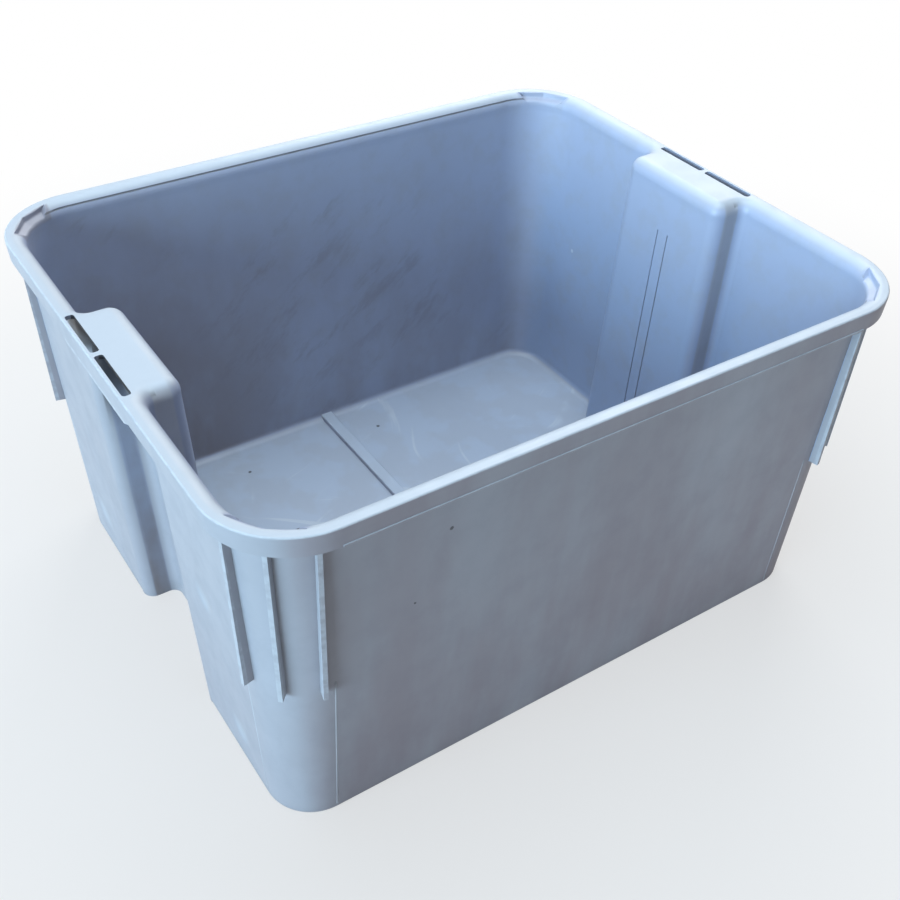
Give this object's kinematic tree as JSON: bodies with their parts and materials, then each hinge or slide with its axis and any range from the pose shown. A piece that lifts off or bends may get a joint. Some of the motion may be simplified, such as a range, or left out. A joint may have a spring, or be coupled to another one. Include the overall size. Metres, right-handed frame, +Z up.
{
  "type": "plastic tub",
  "caption": "Open rectangular nesting tub with leaning walls, a down-turned rim, a slotted hand pocket in each end, stop ribs at the corners and a raised rib across the floor.",
  "frame": {"origin": "on the ground, under the middle of the tub", "axes": "+X along the long walls, +Y from the front wall to the back wall, +Z up"},
  "size_m": [0.6, 0.5, 0.32],
  "materials": {
    "grey_plastic": "satin moulded polyethylene, lightly scuffed"
  },
  "bodies": {
    "root": {"back_left_post": "grey_plastic", "back_left_ribs": "grey_plastic", "back_left_rim": "grey_plastic", "back_left_skirt": "grey_plastic", "back_right_post": "grey_plastic", "back_right_ribs": "grey_plastic", "back_right_rim": "grey_plastic", "back_right_skirt": "grey_plastic", "back_rim": "grey_plastic", "back_skirt": "grey_plastic", "back_wall": "grey_plastic", "floor_panel": "grey_plastic", "floor_rib": "grey_plastic", "front_left_post": "grey_plastic", "front_left_ribs": "grey_plastic", "front_left_rim": "grey_plastic", "front_left_skirt": "grey_plastic", "front_right_post": "grey_plastic", "front_right_ribs": "grey_plastic", "front_right_rim": "grey_plastic", "front_right_skirt": "grey_plastic", "front_rim": "grey_plastic", "front_skirt": "grey_plastic", "front_wall": "grey_plastic", "left_front_cheek": "grey_plastic", "left_front_flank": "grey_plastic", "left_front_rim": "grey_plastic", "left_handle_plate": "grey_plastic", "left_pocket_panel": "grey_plastic", "left_pocket_strip": "grey_plastic", "left_rear_cheek": "grey_plastic", "left_rear_flank": "grey_plastic", "left_rear_rim": "grey_plastic", "left_skirt": "grey_plastic", "right_front_cheek": "grey_plastic", "right_front_flank": "grey_plastic", "right_front_rim": "grey_plastic", "right_handle_plate": "grey_plastic", "right_pocket_panel": "grey_plastic", "right_pocket_strip": "grey_plastic", "right_rear_cheek": "grey_plastic", "right_rear_flank": "grey_plastic", "right_rear_rim": "grey_plastic", "right_skirt": "grey_plastic"}
  },
  "joints": []
}
